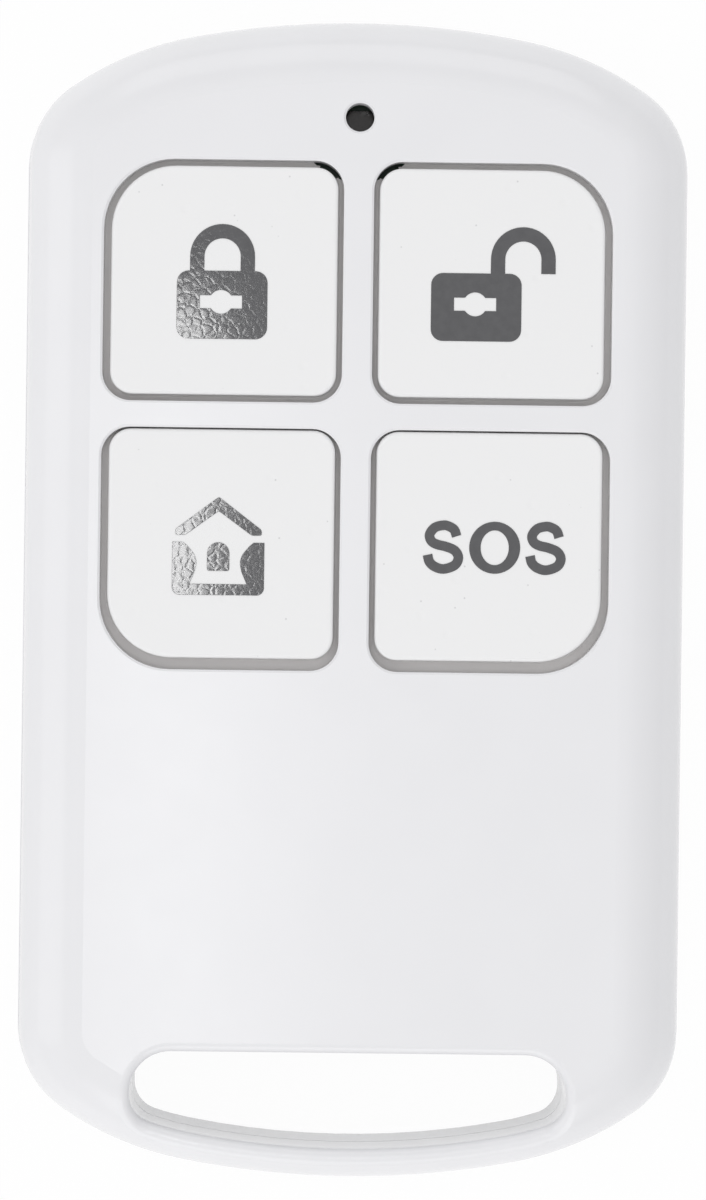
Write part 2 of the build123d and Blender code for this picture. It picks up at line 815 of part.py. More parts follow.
def all_nodes():
    """Every separate piece of the fob, by name."""
    nodes = {
        "front_cover": front_cover(),
        "back_cover": back_cover(),
        "cover_screws": Part() + [place * cover_screw() for place in boss_places()],
        "keypad_web": keypad_web(),
        "circuit_board": circuit_board(),
        "loop_antenna": loop_antenna(),
        "lamp_base": lamp_base(),
        "lamp_lens": lamp_lens(),
        "switch_terminals": switch_terminals(),
        "encoder_chip": encoder_chip(),
        "encoder_leads": encoder_leads(),
        "transistor": transistor(),
        "transistor_leads": transistor_leads(),
        "resonator_can": resonator_can(),
        "resonator_base": resonator_base(),
        "resonator_pins": resonator_pins(),
        "chip_resistors": passive_row(resistor_count, resistor_lift),
        "chip_capacitors": passive_row(capacitor_count, capacitor_lift),
        "tuning_inductor": tuning_inductor(),
        "cell_can": cell_can(),
        "cell_seal": cell_seal(),
        "cell_cap": cell_cap(),
        "cell_clip": cell_clip(),
        "cell_contact": cell_contact(),
    }
    nodes.update({f"key_{name}": key(corner) for name, corner in key_corners.items()})
    nodes.update(switch_nodes())
    return nodes


os.makedirs("parts", exist_ok=True)
for node, shape in all_nodes().items():
    export_step(shape, f"parts/{node}.step")
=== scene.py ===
import bpy
import bmesh
import json
from math import acos, atan2, cos, degrees, pi, radians, sin
from mathutils import Matrix, Vector
from mathutils.geometry import convex_hull_2d

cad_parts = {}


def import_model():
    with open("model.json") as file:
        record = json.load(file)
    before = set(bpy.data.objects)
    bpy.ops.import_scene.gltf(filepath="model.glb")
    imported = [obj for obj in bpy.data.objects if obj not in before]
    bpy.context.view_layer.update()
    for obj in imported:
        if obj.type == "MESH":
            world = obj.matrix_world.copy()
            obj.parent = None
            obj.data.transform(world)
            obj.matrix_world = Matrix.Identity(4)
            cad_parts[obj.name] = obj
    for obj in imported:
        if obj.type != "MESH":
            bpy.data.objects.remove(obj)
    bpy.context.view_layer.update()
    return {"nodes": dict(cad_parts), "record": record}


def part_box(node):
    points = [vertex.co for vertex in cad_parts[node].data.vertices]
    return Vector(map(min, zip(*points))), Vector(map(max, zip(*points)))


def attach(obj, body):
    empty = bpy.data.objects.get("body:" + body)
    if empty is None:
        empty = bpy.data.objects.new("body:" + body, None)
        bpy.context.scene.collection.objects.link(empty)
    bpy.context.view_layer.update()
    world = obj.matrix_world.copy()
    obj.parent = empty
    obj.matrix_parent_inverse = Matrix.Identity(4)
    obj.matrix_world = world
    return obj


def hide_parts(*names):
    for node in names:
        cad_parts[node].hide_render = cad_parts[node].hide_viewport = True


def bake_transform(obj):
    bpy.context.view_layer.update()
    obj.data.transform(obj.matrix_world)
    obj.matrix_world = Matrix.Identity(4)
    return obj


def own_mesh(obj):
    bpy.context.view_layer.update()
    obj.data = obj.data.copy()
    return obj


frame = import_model()

MM = 0.001

# Camera above the fob and a little to its left, from the photograph's framing
image_height_px = 1200
fob_middle_y_px = 599
camera_height = 250 * MM
camera_side = -2.8 * MM
frame_level = 4.2 * MM
frame_height = 65.6 * MM
camera_roll = 0.74
sensor_height_mm = 36
nearest_seen = 0.01
farthest_seen = 20

# Area lamps: place, aim, width, height and radiance
fob = (0, 0, 0)
area_lamps = {
    "softbox_over": ((0, 0, 0.60), fob, 0.6, 0.6, 0.34),
    "softbox_low": ((0, -0.60, 0.30), fob, 0.6, 0.4, 1.50),
    "softbox_high": ((0, 0.60, 0.30), fob, 0.6, 0.4, 1.10),
    "softbox_left": ((-0.60, 0, 0.30), fob, 0.4, 0.6, 0.90),
    "strip": ((-0.0171, -0.018, 0.25), (-0.0171, -0.018, 0), 0.006, 0.10, 13.5),
}
ambient_color = (0.985, 0.985, 1.0, 1)
ambient_strength = 0.60
white = (1, 1, 1, 1)

# Floor
floor_reach = 1.5
floor_drop = 0.02 * MM
floor_cloud_size = 60 * MM
floor_colors = ((0.90, 0.90, 0.90), (0.93, 0.93, 0.93))
floor_roughness = 0.9
floor_white_share = 0.96

# Ranges of noise that the finishes use, from the narrow middle to the wide one
narrow_range = (0.4, 0.6)
middle_range = (0.35, 0.65)
wide_range = (0.3, 0.7)

# Moulded plastics: two colours, roughness, grain size and grain depth
plastics = {
    "housing_plastic": ((0.86, 0.86, 0.872), (0.852, 0.852, 0.864), 0.19, 0.10 * MM, 0.0012 * MM),
    "lamp_plastic": ((0.20, 0.20, 0.20), (0.16, 0.16, 0.16), 0.4, 0.1 * MM, 0.003 * MM),
    "chip_epoxy": ((0.02, 0.02, 0.022), (0.03, 0.03, 0.03), 0.5, 0.08 * MM, 0.004 * MM),
    "resistor_black": ((0.02, 0.02, 0.02), (0.035, 0.035, 0.035), 0.4, 0.1 * MM, 0.003 * MM),
    "capacitor_tan": ((0.42, 0.30, 0.18), (0.36, 0.25, 0.15), 0.45, 0.1 * MM, 0.003 * MM),
    "inductor_grey": ((0.12, 0.12, 0.13), (0.09, 0.09, 0.10), 0.5, 0.12 * MM, 0.005 * MM),
    "seal_plastic": ((0.45, 0.45, 0.42), (0.40, 0.40, 0.38), 0.5, 0.1 * MM, 0.003 * MM),
    "switch_plastic": ((0.03, 0.03, 0.03), (0.04, 0.04, 0.04), 0.45, 0.1 * MM, 0.003 * MM),
    "plunger_plastic": ((0.04, 0.04, 0.04), (0.03, 0.03, 0.03), 0.4, 0.1 * MM, 0.003 * MM),
}
plastic_specular = 0.5
housing_specular = 0.42
plastic_cloud_size = 4 * MM
plastic_gloss_size = 1.2 * MM
plastic_gloss_spread = (0.94, 1.06)

# Metals: colour, roughness and the stretch of their brushing
round_grain = (1, 1, 1)
long_grain = (1, 9, 1)
metals = {
    "screw_steel": ((0.42, 0.42, 0.44), 0.34, round_grain),
    "printed_copper": ((0.72, 0.42, 0.28), 0.3, round_grain),
    "tinned_metal": ((0.70, 0.70, 0.70), 0.3, round_grain),
    "resonator_metal": ((0.66, 0.64, 0.58), 0.28, long_grain),
    "cell_steel": ((0.66, 0.66, 0.67), 0.26, long_grain),
    "spring_steel": ((0.62, 0.60, 0.56), 0.24, long_grain),
    "switch_steel": ((0.60, 0.60, 0.60), 0.25, long_grain),
}
tarnish_size = 1.5 * MM
tarnish_range = (0.4, 0.7)
tarnish_share = 0.8
brush_size = 0.12 * MM
brush_depth = 0.002 * MM
brush_smoother = 0.06
brush_rougher = 0.08

# Key silicone: clean and dusty colours, and painted shade low on the walls of the gaps
silicone_color = (0.90, 0.90, 0.897)
dust_color = (0.70, 0.70, 0.70)
dust_spacing = 1.1 * MM
dust_range = (0.03, 0.06)
# Painted shade: a darker colour on the key walls below the key tops, standing in for the shade deep in the
# gaps
gap_shade_color = (0.76, 0.743, 0.732, 1)
gap_shade_depth = 0.55 * MM
gap_shade_fade = 0.3 * MM
silicone_gloss_size = 0.9 * MM
silicone_roughness = (0.48, 0.62)
dent_spacing = 1.7 * MM
dent_range = (0.05, 0.16)
dent_depth = 0.015 * MM
skin_size = 0.22 * MM
skin_depth = 0.003 * MM

# Legend ink: colours, gloss and dried wrinkles
ink_colors = ((0.062, 0.062, 0.066), (0.074, 0.074, 0.078))
ink_cloud_size = 0.5 * MM
ink_roughness = 0.08
ink_refraction = 1.7
crease_spacing = 0.46 * MM
crease_wander = 0.34 * MM
crease_range = (0, 0.22)
crease_depth = 0.0008 * MM
wave_size = 0.8 * MM
wave_detail = 1.5
wave_depth = 0.0014 * MM

# Board laminate and its weave
laminate_colors = ((0.008, 0.05, 0.022), (0.011, 0.065, 0.03))
laminate_roughness = 0.32
weave_size = 0.3 * MM
weave_stretch = (1, 4, 1)
weave_depth = 0.004 * MM

# Lamp lens: its near-black colours are painted shade for the dark lamp hole
lens_shade_colors = ((0.012, 0.010, 0.009), (0.03, 0.022, 0.018))
lens_roughness = 0.2
lens_cloud_size = 0.4 * MM
lens_ripple_size = 0.3 * MM
lens_ripple_depth = 0.003 * MM

# Printed legends: thickness of the ink film and its bevelled edge
ink_thickness = 0.03 * MM
ink_bevel = 0.012 * MM
ink_sink = 0.004 * MM
arc_steps = 24
corner_steps = 8
bulge_steps = 4
soft_steps = 4
letter_steps = 5

# Padlocks
lock_width = 4.86 * MM
lock_height = 3.65 * MM
lock_corner = 0.64 * MM
shackle_outer = 1.74 * MM
shackle_inner = 0.97 * MM
keyhole_radius = 0.64 * MM
keyhole_bar_width = 2.26 * MM
keyhole_bar_height = 0.70 * MM
keyhole_shift = Vector((-0.06, 0.16)) * MM
closed_lock_place = Vector((-0.10, -1.32)) * MM
open_lock_place = Vector((-0.83, -1.27)) * MM
open_shackle_offset = 2.50 * MM
shackle_rise = 0.77 * MM
open_leg_drop = 0.76 * MM

# House
house_middle = -0.13 * MM
house_half_width = 2.47 * MM
house_foot = -2.76 * MM
house_wall_top = 0.07 * MM
house_bar_top = -2.17 * MM
house_corner = 0.40 * MM
wall_width = 1.30 * MM
wall_shares = (
    (0.45, 0), (0.64, 0.10), (0.80, 0.21), (0.92, 0.31),
    (1, 0.47), (0.95, 0.67), (0.88, 0.78), (0.72, 1),
)
roof_apex = 2.51 * MM
roof_inner_apex = 1.75 * MM
roof_eave_top = 0.75 * MM
roof_eave_foot = 0.45 * MM
roof_half_span = 2.32 * MM
roof_foot_width = 0.54 * MM
roof_corner = 0.12 * MM
door_width = 1.20 * MM
door_foot = -1.46 * MM
door_top = 0.07 * MM
door_corner = 0.12 * MM

# Distress lettering: two curved strokes and a ring
letter_height = 2.79 * MM
letter_stroke = 0.52 * MM
s_width = 2.18 * MM
o_width = 2.74 * MM
o_inner_width = 1.51 * MM
o_inner_height = 1.86 * MM
letter_line = -0.03 * MM
letter_places = (-2.44 * MM, 0.33 * MM, 3.06 * MM)
s_spine_shares = (
    (0.66, 0.42), (0.54, 0.67), (0.28, 0.80), (0.02, 0.84), (-0.41, 0.75), (-0.67, 0.48),
    (-0.58, 0.23), (-0.30, 0.10), (0.14, 0.02), (0.58, -0.13), (0.76, -0.40), (0.58, -0.69),
    (0.04, -0.84), (-0.41, -0.75), (-0.67, -0.56), (-0.76, -0.30),
)

# Cover screws: rounded head with a cross recess, and a coarse thread
head_radius = 1.3 * MM
head_height = 0.9 * MM
head_edge = 0.38 * MM
screw_height = 5.9 * MM
core_radius = 0.52 * MM
thread_crest = 0.78 * MM
thread_pitch = 0.56 * MM
thread_width_share = 0.55
tip_length = 0.9 * MM
tip_radius = 0.02 * MM
ring_steps = 24
rows_per_turn = 6
recess_length = 0.70 * MM
recess_width = 0.28 * MM
recess_depth = 0.50 * MM
recess_lead = 0.125 * MM
recess_taper = 0.5
screw_turns = (12, 71, 38, 55)

# Snap domes of the switches: sheet and rows of points
dome_thickness = 0.07 * MM
dome_rows = 8

# Skirts that join the keys to the web: section as distance out from the key's wall and height over the web
skirt_section = (
    (0.20 * MM, -0.01 * MM), (0.20 * MM, 0.03 * MM), (0.09 * MM, 0.04 * MM),
    (-0.02 * MM, 0.12 * MM), (-0.02 * MM, 0.08 * MM), (0.085 * MM, 0),
)
lamp_notch_radius = 3.45 * MM
least_step = 0.01 * MM


def link(obj):
    """Put a new object into the scene."""
    bpy.context.scene.collection.objects.link(obj)
    return obj


def new_material(name):
    """An empty node material with its principled shader."""
    material = bpy.data.materials.new(name)
    material.use_nodes = True
    tree = material.node_tree
    return material, tree, tree.nodes["Principled BSDF"]


def add_node(tree, kind, inputs=None, **settings):
    """A node with some of its settings and unlinked inputs."""
    node = tree.nodes.new(kind)
    for key, value in settings.items():
        setattr(node, key, value)
    for key, value in (inputs or {}).items():
        node.inputs[key].default_value = value
    return node


def place_on_object(tree):
    """The place on the object, in metres, for a texture."""
    return add_node(tree, "ShaderNodeTexCoord").outputs["Object"]


def noise(tree, size, detail=2.0, roughness=0.5, stretch=round_grain):
    """Noise whose lumps measure about a given size on the object, in metres."""
    mapping = add_node(tree, "ShaderNodeMapping", {"Scale": stretch})
    tree.links.new(place_on_object(tree), mapping.inputs["Vector"])
    sizes = {"Scale": 1 / size, "Detail": detail, "Roughness": roughness}
    texture = add_node(tree, "ShaderNodeTexNoise", sizes)
    tree.links.new(mapping.outputs["Vector"], texture.inputs["Vector"])
    return texture.outputs["Fac"]


def cells(tree, size):
    """The distance to the nearest of points scattered about a given size apart."""
    texture = add_node(tree, "ShaderNodeTexVoronoi", {"Scale": 1 / size}, feature="F1")
    tree.links.new(place_on_object(tree), texture.inputs["Vector"])
    return texture.outputs["Distance"]


def creases(tree, size, wander):
    """The distance to a network of wandering creases about a given size apart."""
    place = place_on_object(tree)
    drift = add_node(tree, "ShaderNodeTexNoise", {"Scale": 1 / size})
    tree.links.new(place, drift.inputs["Vector"])
    moved = add_node(tree, "ShaderNodeVectorMath", {1: (wander,) * 3}, operation="MULTIPLY_ADD")
    tree.links.new(drift.outputs["Color"], moved.inputs[0])
    tree.links.new(place, moved.inputs[2])
    texture = add_node(tree, "ShaderNodeTexVoronoi", {"Scale": 1 / size}, feature="DISTANCE_TO_EDGE")
    tree.links.new(moved.outputs["Vector"], texture.inputs["Vector"])
    return texture.outputs["Distance"]


def height_over(tree, level, span):
    """A share that runs from 0 below a height to 1 a span above it."""
    parts = add_node(tree, "ShaderNodeSeparateXYZ")
    tree.links.new(place_on_object(tree), parts.inputs["Vector"])
    return remap(tree, parts.outputs["Z"], (level, level + span))


def remap(tree, value, span, target=(0, 1)):
    """A value moved from one range to another."""
    ranges = {"From Min": span[0], "From Max": span[1], "To Min": target[0], "To Max": target[1]}
    node = add_node(tree, "ShaderNodeMapRange", ranges)
    tree.links.new(value, node.inputs["Value"])
    return node.outputs["Result"]


def blend_colors(tree, factor, colors):
    """Two colours mixed by a factor from a texture."""
    node = add_node(tree, "ShaderNodeMix", data_type="RGBA")
    tree.links.new(factor, node.inputs["Factor"])
    node.inputs["A"].default_value = (*colors[0], 1)
    node.inputs["B"].default_value = (*colors[1], 1)
    return node.outputs["Result"]


def bump(tree, height, depth, under=None):
    """A bump whose height runs over a depth in metres, on top of another bump if one is given."""
    node = add_node(tree, "ShaderNodeBump", {"Strength": 1.0, "Distance": depth})
    tree.links.new(height, node.inputs["Height"])
    if under is not None:
        tree.links.new(under, node.inputs["Normal"])
    return node.outputs["Normal"]


def plastic(name, color, shade, rough, grain_size, grain_depth):
    """Moulded plastic: fine grain, faint clouding of the colour and uneven gloss."""
    material, tree, shader = new_material(name)
    specular = housing_specular if name == "housing_plastic" else plastic_specular
    shader.inputs["Specular IOR Level"].default_value = specular
    cloud = remap(tree, noise(tree, plastic_cloud_size), middle_range)
    tree.links.new(blend_colors(tree, cloud, (color, shade)), shader.inputs["Base Color"])
    spread = [rough * share for share in plastic_gloss_spread]
    gloss = remap(tree, noise(tree, plastic_gloss_size, 3), wide_range, spread)
    tree.links.new(gloss, shader.inputs["Roughness"])
    grain = bump(tree, noise(tree, grain_size, 3, 0.6), grain_depth)
    tree.links.new(grain, shader.inputs["Normal"])
    return material


def metal(name, color, rough, brush):
    """Bright metal: faint brushing, uneven gloss and a little tarnish."""
    material, tree, shader = new_material(name)
    shader.inputs["Metallic"].default_value = 1.0
    tarnish = remap(tree, noise(tree, tarnish_size, 3), tarnish_range)
    worn = tuple(tarnish_share * part for part in color)
    tree.links.new(blend_colors(tree, tarnish, (color, worn)), shader.inputs["Base Color"])
    streaks = noise(tree, brush_size, 3, 0.5, brush)
    gloss = remap(tree, streaks, wide_range, (rough - brush_smoother, rough + brush_rougher))
    tree.links.new(gloss, shader.inputs["Roughness"])
    tree.links.new(bump(tree, streaks, brush_depth), shader.inputs["Normal"])
    return material


def key_silicone():
    """White silicone: satin, with painted shade low on the walls of the gaps, specks of dust and shallow
    dents.
    """
    material, tree, shader = new_material("key_silicone")
    dust = remap(tree, cells(tree, dust_spacing), dust_range, (1, 0))
    clean = blend_colors(tree, dust, (silicone_color, dust_color))
    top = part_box("key_arm")[1].z
    # Painted shade: the walls turn darker below a depth under the key tops, where the gaps are shaded
    walls = add_node(tree, "ShaderNodeMix", data_type="RGBA")
    tree.links.new(height_over(tree, top - gap_shade_depth, gap_shade_fade), walls.inputs["Factor"])
    walls.inputs["A"].default_value = gap_shade_color
    tree.links.new(clean, walls.inputs["B"])
    tree.links.new(walls.outputs["Result"], shader.inputs["Base Color"])
    gloss = remap(tree, noise(tree, silicone_gloss_size, 3), wide_range, silicone_roughness)
    tree.links.new(gloss, shader.inputs["Roughness"])
    dents = bump(tree, remap(tree, cells(tree, dent_spacing), dent_range), dent_depth)
    skin = bump(tree, noise(tree, skin_size), skin_depth, under=dents)
    tree.links.new(skin, shader.inputs["Normal"])
    return material


def legend_ink():
    """Dark grey gloss ink that dried with fine wrinkles."""
    material, tree, shader = new_material("legend_ink")
    shade = remap(tree, noise(tree, ink_cloud_size, 3), middle_range)
    tree.links.new(blend_colors(tree, shade, ink_colors), shader.inputs["Base Color"])
    shader.inputs["Roughness"].default_value = ink_roughness
    shader.inputs["IOR"].default_value = ink_refraction
    folds = remap(tree, creases(tree, crease_spacing, crease_wander), crease_range)
    waves = bump(tree, noise(tree, wave_size, wave_detail), wave_depth)
    wrinkles = bump(tree, folds, crease_depth, under=waves)
    tree.links.new(wrinkles, shader.inputs["Normal"])
    return material


def board_laminate():
    """Green-masked glass laminate with the weave just showing."""
    material, tree, shader = new_material("board_laminate")
    weave = remap(tree, noise(tree, weave_size, stretch=weave_stretch), middle_range)
    tree.links.new(blend_colors(tree, weave, laminate_colors), shader.inputs["Base Color"])
    shader.inputs["Roughness"].default_value = laminate_roughness
    tree.links.new(bump(tree, weave, weave_depth), shader.inputs["Normal"])
    return material


def lamp_lens():
    """The unlit lamp's lens, coloured near black: painted shade for the dark hole it sits in."""
    material, tree, shader = new_material("lamp_lens")
    shade = remap(tree, noise(tree, lens_cloud_size), narrow_range)
    # Painted shade: the lens colours are near black to stand for the shade in the lamp hole
    tree.links.new(blend_colors(tree, shade, lens_shade_colors), shader.inputs["Base Color"])
    shader.inputs["Roughness"].default_value = lens_roughness
    ripple = bump(tree, noise(tree, lens_ripple_size), lens_ripple_depth)
    tree.links.new(ripple, shader.inputs["Normal"])
    return material


def slot_materials():
    """One material for each of the record's slots."""
    materials = {
        "key_silicone": key_silicone(),
        "legend_ink": legend_ink(),
        "board_laminate": board_laminate(),
        "lamp_lens": lamp_lens(),
    }
    for name, look in plastics.items():
        materials[name] = plastic(name, *look)
    for name, look in metals.items():
        materials[name] = metal(name, *look)
    return materials


def dress_nodes(materials):
    """Give each carried-over piece the material of its slot."""
    slots = {row["node"]: row["material_slot"] for row in frame["record"]["subparts"]}
    for name, node in frame["nodes"].items():
        node.data.materials.clear()
        node.data.materials.append(materials[slots[name]])


def arc(center, radius, first, last, steps=arc_steps):
    """Points along an arc, both ends included, in degrees from the X axis."""
    turns = [radians(first + (last - first) * step / steps) for step in range(steps + 1)]
    return [Vector((center[0] + radius * cos(turn), center[1] + radius * sin(turn))) for turn in turns]


def keyhole(center):
    """A round hole with a bar across it."""
    x, y = keyhole_bar_width / 2, keyhole_bar_height / 2
    reach = degrees(atan2(y, (keyhole_radius ** 2 - y ** 2) ** 0.5))
    upper = arc(center, keyhole_radius, reach, 180 - reach)
    lower = arc(center, keyhole_radius, 180 + reach, 360 - reach)
    right = [Vector((center[0] + x, center[1] - y)), Vector((center[0] + x, center[1] + y))]
    left = [Vector((center[0] - x, center[1] + y)), Vector((center[0] - x, center[1] - y))]
    return upper + left + lower + right


def lock_corners(place):
    """A padlock body's corners, from the upper left one round by the foot to the upper right one."""
    x, y = lock_width / 2 - lock_corner, lock_height / 2 - lock_corner
    outline = []
    for corner_x, corner_y, turn in ((-x, y, 90), (-x, -y, 180), (x, -y, 270), (x, y, 0)):
        center = place + Vector((corner_x, corner_y))
        outline += arc(center, lock_corner, turn, turn + 90, corner_steps)
    return outline


def closed_lock():
    """A closed padlock: body and shackle in one outline, the shackle's inside and the keyhole."""
    place = closed_lock_place
    top = place.y + lock_height / 2
    center = Vector((place.x, top + shackle_rise))
    outline = [Vector((center.x + shackle_outer, top))]
    outline += arc(center, shackle_outer, 0, 180)
    outline += [Vector((center.x - shackle_outer, top))]
    outline += lock_corners(place)
    inside = arc(center, shackle_inner, 0, 180)
    inside += [Vector((center.x - shackle_inner, top)), Vector((center.x + shackle_inner, top))]
    return [outline, inside, keyhole(place + keyhole_shift)]


def open_lock():
    """An open padlock: its shackle stands on the body's right end and hangs open beside it."""
    place = open_lock_place
    top = place.y + lock_height / 2
    center = Vector((place.x + open_shackle_offset, top + shackle_rise))
    end = center.y - open_leg_drop
    outline = [Vector((center.x + shackle_inner, end)), Vector((center.x + shackle_outer, end))]
    outline += arc(center, shackle_outer, 0, 180)
    outline += [Vector((center.x - shackle_outer, top))]
    outline += lock_corners(place)
    outline += [Vector((center.x - shackle_inner, top))]
    outline += arc(center, shackle_inner, 180, 0)
    return [outline, keyhole(place + keyhole_shift)]


def mirrored(points):
    """Points of the house's right half on its left, in the reverse order."""
    return [Vector((2 * house_middle - point.x, point.y)) for point in reversed(points)]


def foot_corners(half_width, foot, radius):
    """The two rounded lower corners of the house or of its door, from left to right."""
    left = (house_middle - half_width + radius, foot + radius)
    right = (house_middle + half_width - radius, foot + radius)
    outline = arc(left, radius, 180, 270, corner_steps)
    return outline + arc(right, radius, 270, 360, corner_steps)


def wall_bulge():
    """The right wall's inner edge, from its top corner round the bulge to the bar."""
    side = house_middle + house_half_width
    rise = house_bar_top - house_wall_top
    spine = [Vector((side - wall_width * x, house_wall_top + rise * y)) for x, y in wall_shares]
    return [Vector((side, house_wall_top))] + smooth_path(spine, bulge_steps)


def house():
    """A house: a chevron roof, two bulging walls joined by a bar, and an arched door."""
    eave = house_middle + roof_half_span
    eave_right = [
        Vector((eave - roof_foot_width, roof_eave_foot)),
        Vector((eave, roof_eave_foot)),
        Vector((eave, roof_eave_top)),
    ]
    apex, inner_apex = Vector((house_middle, roof_apex)), Vector((house_middle, roof_inner_apex))
    roof = eave_right + [apex] + mirrored(eave_right) + [inner_apex]
    right = wall_bulge()
    walls = right + mirrored(right) + foot_corners(house_half_width, house_foot, house_corner)
    radius = door_width / 2
    door = arc((house_middle, door_top - radius), radius, 0, 180)
    door += foot_corners(radius, door_foot, door_corner)
    return [softened(roof, roof_corner), walls, door]


def smooth_path(points, steps):
    """A curve through given points."""
    padded = [2 * points[0] - points[1]] + list(points) + [2 * points[-1] - points[-2]]
    path = []
    for a, b, c, d in zip(padded, padded[1:], padded[2:], padded[3:]):
        slope, curve, twist = c - a, 2 * a - 5 * b + 4 * c - d, 3 * b - a - 3 * c + d
        for step in range(steps):
            t = step / steps
            path.append(0.5 * (2 * b + slope * t + curve * t ** 2 + twist * t ** 3))
    return path + [points[-1]]


def softened(points, reach):
    """An outline with each corner rounded over a reach along both its sides."""
    path = []
    for before, corner, after in zip(points[-1:] + points[:-1], points, points[1:] + points[:1]):
        first = corner + (before - corner).normalized() * reach
        last = corner + (after - corner).normalized() * reach
        for step in range(soft_steps + 1):
            t = step / soft_steps
            path.append(first * (1 - t) ** 2 + corner * 2 * t * (1 - t) + last * t ** 2)
    return path


def stroke(points, width):
    """The outline of a stroke of even width along a path."""
    left, right = [], []
    for index, point in enumerate(points):
        ahead = points[min(index + 1, len(points) - 1)] - points[max(index - 1, 0)]
        side = Vector((-ahead.y, ahead.x)).normalized() * width / 2
        left.append(point + side)
        right.append(point - side)
    return left + right[::-1]


def ellipse(center, width, height):
    """An ellipse's outline."""
    steps = 3 * arc_steps
    outline = []
    for step in range(steps):
        turn = 2 * pi * step / steps
        outline.append(Vector((center[0] + width / 2 * cos(turn), center[1] + height / 2 * sin(turn))))
    return outline


def s_outline(place):
    """The outline of a letter S about a place along the line of lettering."""
    across, up = s_width / 2, letter_height / 2
    points = [Vector((place + across * x, letter_line + up * y)) for x, y in s_spine_shares]
    return stroke(smooth_path(points, letter_steps), letter_stroke)


def distress_letters():
    """The three letters of the distress call."""
    first, second, third = letter_places
    return [
        s_outline(first),
        s_outline(third),
        ellipse((second, letter_line), o_width, letter_height),
        ellipse((second, letter_line), o_inner_width, o_inner_height),
    ]


def key_middle(key):
    """The middle of a key in plan, taken from the switch plunger under it."""
    low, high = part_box(f"switch_plunger_{key}")
    return (low + high) / 2


def legend(name, outlines, key, material):
    """A film of ink on a key: flat outlines raised to the film's thickness with a soft edge."""
    curve = bpy.data.curves.new(name, "CURVE")
    curve.dimensions = "2D"
    curve.fill_mode = "BOTH"
    curve.extrude = ink_thickness / 2 - ink_bevel
    curve.bevel_depth = ink_bevel
    curve.bevel_resolution = 1
    curve.offset = -ink_bevel
    for outline in outlines:
        spline = curve.splines.new("POLY")
        spline.points.add(len(outline) - 1)
        for point, place in zip(spline.points, outline):
            point.co = (place.x, place.y, 0, 1)
        spline.use_cyclic_u = True
    drawn = link(bpy.data.objects.new(name + "_outline", curve))
    bpy.context.view_layer.update()
    mesh = bpy.data.meshes.new_from_object(drawn)
    bpy.data.objects.remove(drawn)
    mesh.name = name
    film = link(bpy.data.objects.new(name, mesh))
    place = key_middle(key)
    key_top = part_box(f"key_{key}")[1].z
    film.location = (place.x, place.y, key_top + ink_thickness / 2 - ink_sink)
    film.data.materials.clear()
    film.data.materials.append(material)
    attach(film, f"key_{key}")


def loop_rings(sheet, rings, endless):
    """Join rings of points into one closed skin, endless or flat at both ends."""
    rows = [[sheet.verts.new(point) for point in points] for points in rings]
    for lower, upper in zip(rows, rows[1:] + rows[:1] if endless else rows[1:]):
        for a, b, c, d in zip(lower, lower[1:] + lower[:1], upper[1:] + upper[:1], upper):
            sheet.faces.new((a, b, c, d))
    if not endless:
        sheet.faces.new(rows[0][::-1])
        sheet.faces.new(rows[-1])
    bmesh.ops.recalc_face_normals(sheet, faces=sheet.faces)


def mesh_object(name, rings, endless=False):
    """An object made of one closed skin through rings of points."""
    mesh = bpy.data.meshes.new(name)
    sheet = bmesh.new()
    loop_rings(sheet, rings, endless)
    sheet.to_mesh(mesh)
    sheet.free()
    return link(bpy.data.objects.new(name, mesh))


def ring(height, radius_at):
    """A ring of points whose radius may change with the turn."""
    turns = [2 * pi * step / ring_steps for step in range(ring_steps)]
    return [Vector((radius_at(turn) * cos(turn), radius_at(turn) * sin(turn), height)) for turn in turns]


def thread_radius(height, turn):
    """How far the thread stands from the axis: a sharp ridge that winds up, and tapers to a point."""
    phase = (height / thread_pitch - turn / (2 * pi)) % 1
    ridge = max(0, 1 - abs(2 * phase - 1) / thread_width_share)
    taper = min(1, (screw_height - height) / tip_length)
    return taper * (core_radius + ridge * (thread_crest - core_radius)) + tip_radius


def screw_rings():
    """A screw's rings, from the face of its rounded head up to its point."""
    rings = []
    for step in range(corner_steps + 1):
        turn = pi / 2 * step / corner_steps
        radius = head_radius - head_edge + head_edge * sin(turn)
        rings.append(ring(head_edge * (1 - cos(turn)), lambda turn, r=radius: r))
    rings.append(ring(head_height, lambda turn: head_radius))
    rows = round((screw_height - head_height) / thread_pitch * rows_per_turn)
    for row in range(rows + 1):
        height = head_height + (screw_height - head_height) * row / rows
        rings.append(ring(height, lambda turn, h=height: thread_radius(h, turn)))
    return rings


def cross_ring(height, share):
    """A cross of four arms at a height, its arms shrunk by a share."""
    length, half = recess_length * share, recess_width * share / 2
    arm = (Vector((length, -half)), Vector((length, half)), Vector((half, half)))
    points = []
    for quarter in range(4):
        turned = [point.copy() for point in arm]
        for point in turned:
            point.rotate(Matrix.Rotation(quarter * pi / 2, 2))
        points += turned
    return [Vector((point.x, point.y, height)) for point in points]


def screw_mesh():
    """A cross-head self-tapping screw, head downwards."""
    screw = mesh_object("screw_blank", screw_rings())
    cross = [cross_ring(-recess_lead, 1), cross_ring(recess_depth, recess_taper)]
    driver = mesh_object("driver", cross)
    cut = screw.modifiers.new("recess", "BOOLEAN")
    cut.object = driver
    cut.operation = "DIFFERENCE"
    cut.solver = "EXACT"
    graph = bpy.context.evaluated_depsgraph_get()
    mesh = bpy.data.meshes.new_from_object(screw.evaluated_get(graph))
    bpy.data.objects.remove(screw)
    bpy.data.objects.remove(driver)
    return mesh


